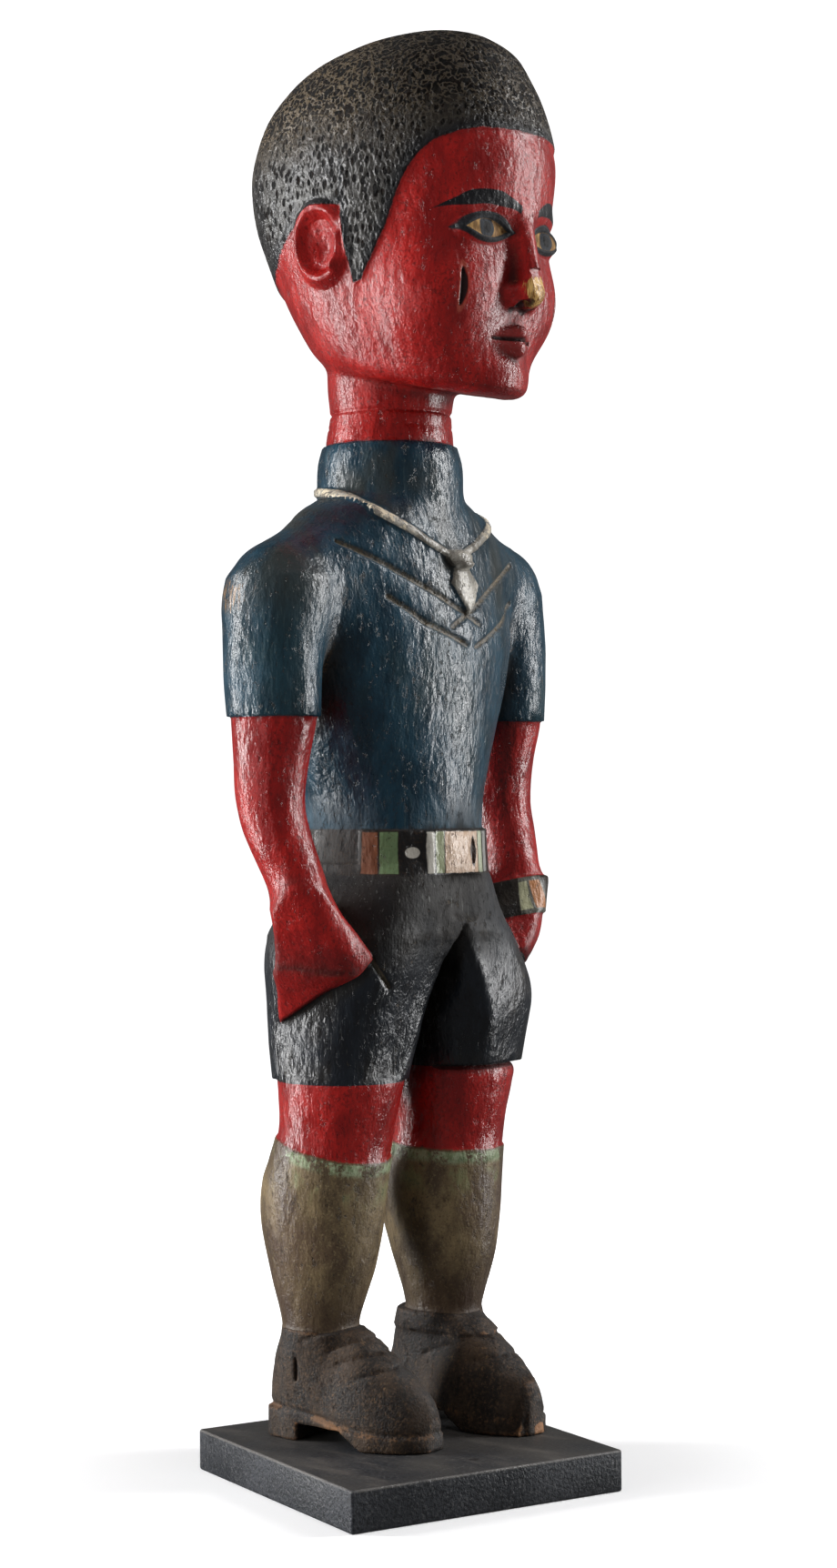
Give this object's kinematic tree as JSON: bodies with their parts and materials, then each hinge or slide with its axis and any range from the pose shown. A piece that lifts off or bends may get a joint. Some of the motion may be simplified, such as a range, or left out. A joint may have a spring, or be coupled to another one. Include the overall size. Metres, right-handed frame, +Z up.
{
  "type": "carved colon figure",
  "caption": "Painted wood carving of a standing young man in shirt, shorts, socks and shoes, hands in his pockets, on a square plinth.",
  "frame": {"origin": "middle of the plinth's flat underside, which rests on the surface", "axes": "+Z up through the crown; the figure faces -Y and its right side is at -X; the plinth is turned 20.4 degrees clockwise under it, seen from above"},
  "size_m": [0.1501, 0.1286, 0.4715],
  "materials": {
    "painted_carving": "worn satin paint: red skin, blue shirt, black shorts, brown socks and shoes",
    "plinth_paint": "black satin paint"
  },
  "bodies": {
    "root": {"carved_figure": "painted_carving", "plinth": "plinth_paint"}
  },
  "joints": []
}
